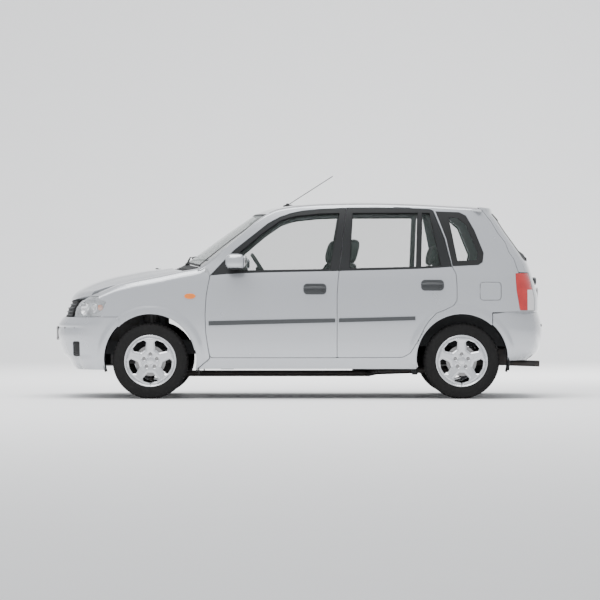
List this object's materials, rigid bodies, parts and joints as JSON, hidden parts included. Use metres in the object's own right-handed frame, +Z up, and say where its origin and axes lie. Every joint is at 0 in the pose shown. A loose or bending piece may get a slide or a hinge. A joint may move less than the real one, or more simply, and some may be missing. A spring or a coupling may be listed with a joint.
{
  "type": "hatchback car",
  "caption": "Small high-roofed five-door hatchback car with turning wheels, steering, opening doors, hood, tailgate and fuel flap.",
  "frame": {"origin": "on the ground, at the middle of the bounding box of the car", "axes": "-X towards the front of the car, -Y towards its left side, +Z up"},
  "size_m": [3.8, 1.9876, 1.7415],
  "materials": {
    "paint": "metallic gloss",
    "floor_paint": "satin",
    "black_plastic": "matte",
    "lamp_glass": "gloss",
    "red_lens": "gloss",
    "window_glass": "gloss",
    "trim_plastic": "matte",
    "steering_rim": "matte",
    "seat_cloth": "matte",
    "iron": "rough",
    "black_steel": "satin",
    "steel": "satin",
    "tyre": "matte",
    "alloy": "satin"
  },
  "bodies": {
    "car": {"floor_pan": "floor_paint", "side_frame_left": "paint", "side_frame_right": "paint", "roof_panel": "paint", "front_fenders": "paint", "front_bumper": "paint", "rear_bumper": "paint", "grille": "black_plastic", "cowl": "black_plastic", "headlights": "lamp_glass", "tail_lights": "red_lens", "windscreen": "window_glass", "quarter_windows": "window_glass", "aerial": "black_plastic", "dashboard": "trim_plastic", "front_seats": "seat_cloth", "rear_seat": "seat_cloth", "engine_block": "iron", "front_subframe": "black_steel", "rear_axle": "black_steel", "fuel_tank": "black_steel", "exhaust": "steel"},
    "front_door_left": {"front_door_left": "paint", "front_glass_left": "window_glass", "mirror_left": "paint"},
    "front_door_right": {"front_door_right": "paint", "front_glass_right": "window_glass", "mirror_right": "paint"},
    "rear_door_left": {"rear_door_left": "paint", "rear_glass_left": "window_glass"},
    "rear_door_right": {"rear_door_right": "paint", "rear_glass_right": "window_glass"},
    "hood": {"hood": "paint"},
    "tailgate": {"tailgate": "paint", "tailgate_glass": "window_glass"},
    "fuel_flap": {"fuel_flap": "paint"},
    "steering_wheel": {"steering_wheel": "steering_rim"},
    "knuckle_left": {"front_knuckle_left": "iron"},
    "knuckle_right": {"front_knuckle_right": "iron"},
    "wheel_front_left": {"tyre_front_left": "tyre", "rim_front_left": "alloy"},
    "wheel_front_right": {"tyre_front_right": "tyre", "rim_front_right": "alloy"},
    "wheel_rear_left": {"tyre_rear_left": "tyre", "rim_rear_left": "alloy"},
    "wheel_rear_right": {"tyre_rear_right": "tyre", "rim_rear_right": "alloy"}
  },
  "joints": [
    {"name": "front_door_left_hinge", "type": "hinge", "parent": "car", "child": "front_door_left", "pos_m": [-0.728, -0.843, 0.7], "axis": [0, 0, -1], "range_deg": [0, 68]},
    {"name": "front_door_right_hinge", "type": "hinge", "parent": "car", "child": "front_door_right", "pos_m": [-0.728, 0.843, 0.7], "axis": [0, 0, 1], "range_deg": [0, 68]},
    {"name": "rear_door_left_hinge", "type": "hinge", "parent": "car", "child": "rear_door_left", "pos_m": [0.283, -0.843, 0.7], "axis": [0, 0, -1], "range_deg": [0, 68]},
    {"name": "rear_door_right_hinge", "type": "hinge", "parent": "car", "child": "rear_door_right", "pos_m": [0.283, 0.843, 0.7], "axis": [0, 0, 1], "range_deg": [0, 68]},
    {"name": "hood_hinge", "type": "hinge", "parent": "car", "child": "hood", "pos_m": [-0.894, 0, 1.016], "axis": [0, 1, 0], "range_deg": [0, 55]},
    {"name": "tailgate_hinge", "type": "hinge", "parent": "car", "child": "tailgate", "pos_m": [1.394, 0, 1.494], "axis": [0, -1, 0], "range_deg": [0, 80]},
    {"name": "fuel_flap_hinge", "type": "hinge", "parent": "car", "child": "fuel_flap", "pos_m": [1.382, -0.8215, 0.826], "axis": [0, 0, -1], "range_deg": [0, 90]},
    {"name": "steer_left", "type": "hinge", "parent": "car", "child": "knuckle_left", "pos_m": [-1.149, -0.6805, 0.15], "axis": [0, 0.2005, 0.9797], "range_deg": [-33, 33]},
    {"name": "steer_right", "type": "hinge", "parent": "car", "child": "knuckle_right", "pos_m": [-1.149, 0.6805, 0.15], "axis": [0, -0.2005, 0.9797], "range_deg": [-33, 33]},
    {"name": "steering_wheel_turn", "type": "hinge", "parent": "car", "child": "steering_wheel", "pos_m": [-0.281, -0.37, 0.966], "axis": [0.8443, 0, 0.5358], "range_deg": [-528, 528]},
    {"name": "wheel_front_left_spin", "type": "hinge", "parent": "knuckle_left", "child": "wheel_front_left", "pos_m": [-1.149, -0.7155, 0.292], "axis": [0, 1, 0], "continuous": true},
    {"name": "wheel_front_right_spin", "type": "hinge", "parent": "knuckle_right", "child": "wheel_front_right", "pos_m": [-1.149, 0.7155, 0.292], "axis": [0, 1, 0], "continuous": true},
    {"name": "wheel_rear_left_spin", "type": "hinge", "parent": "car", "child": "wheel_rear_left", "pos_m": [1.241, -0.7155, 0.292], "axis": [0, 1, 0], "continuous": true},
    {"name": "wheel_rear_right_spin", "type": "hinge", "parent": "car", "child": "wheel_rear_right", "pos_m": [1.241, 0.7155, 0.292], "axis": [0, 1, 0], "continuous": true}
  ],
  "couplings": [
    {"joint": "steer_right", "follows": "steer_left", "ratio": 1},
    {"joint": "steering_wheel_turn", "follows": "steer_left", "ratio": 16}
  ]
}
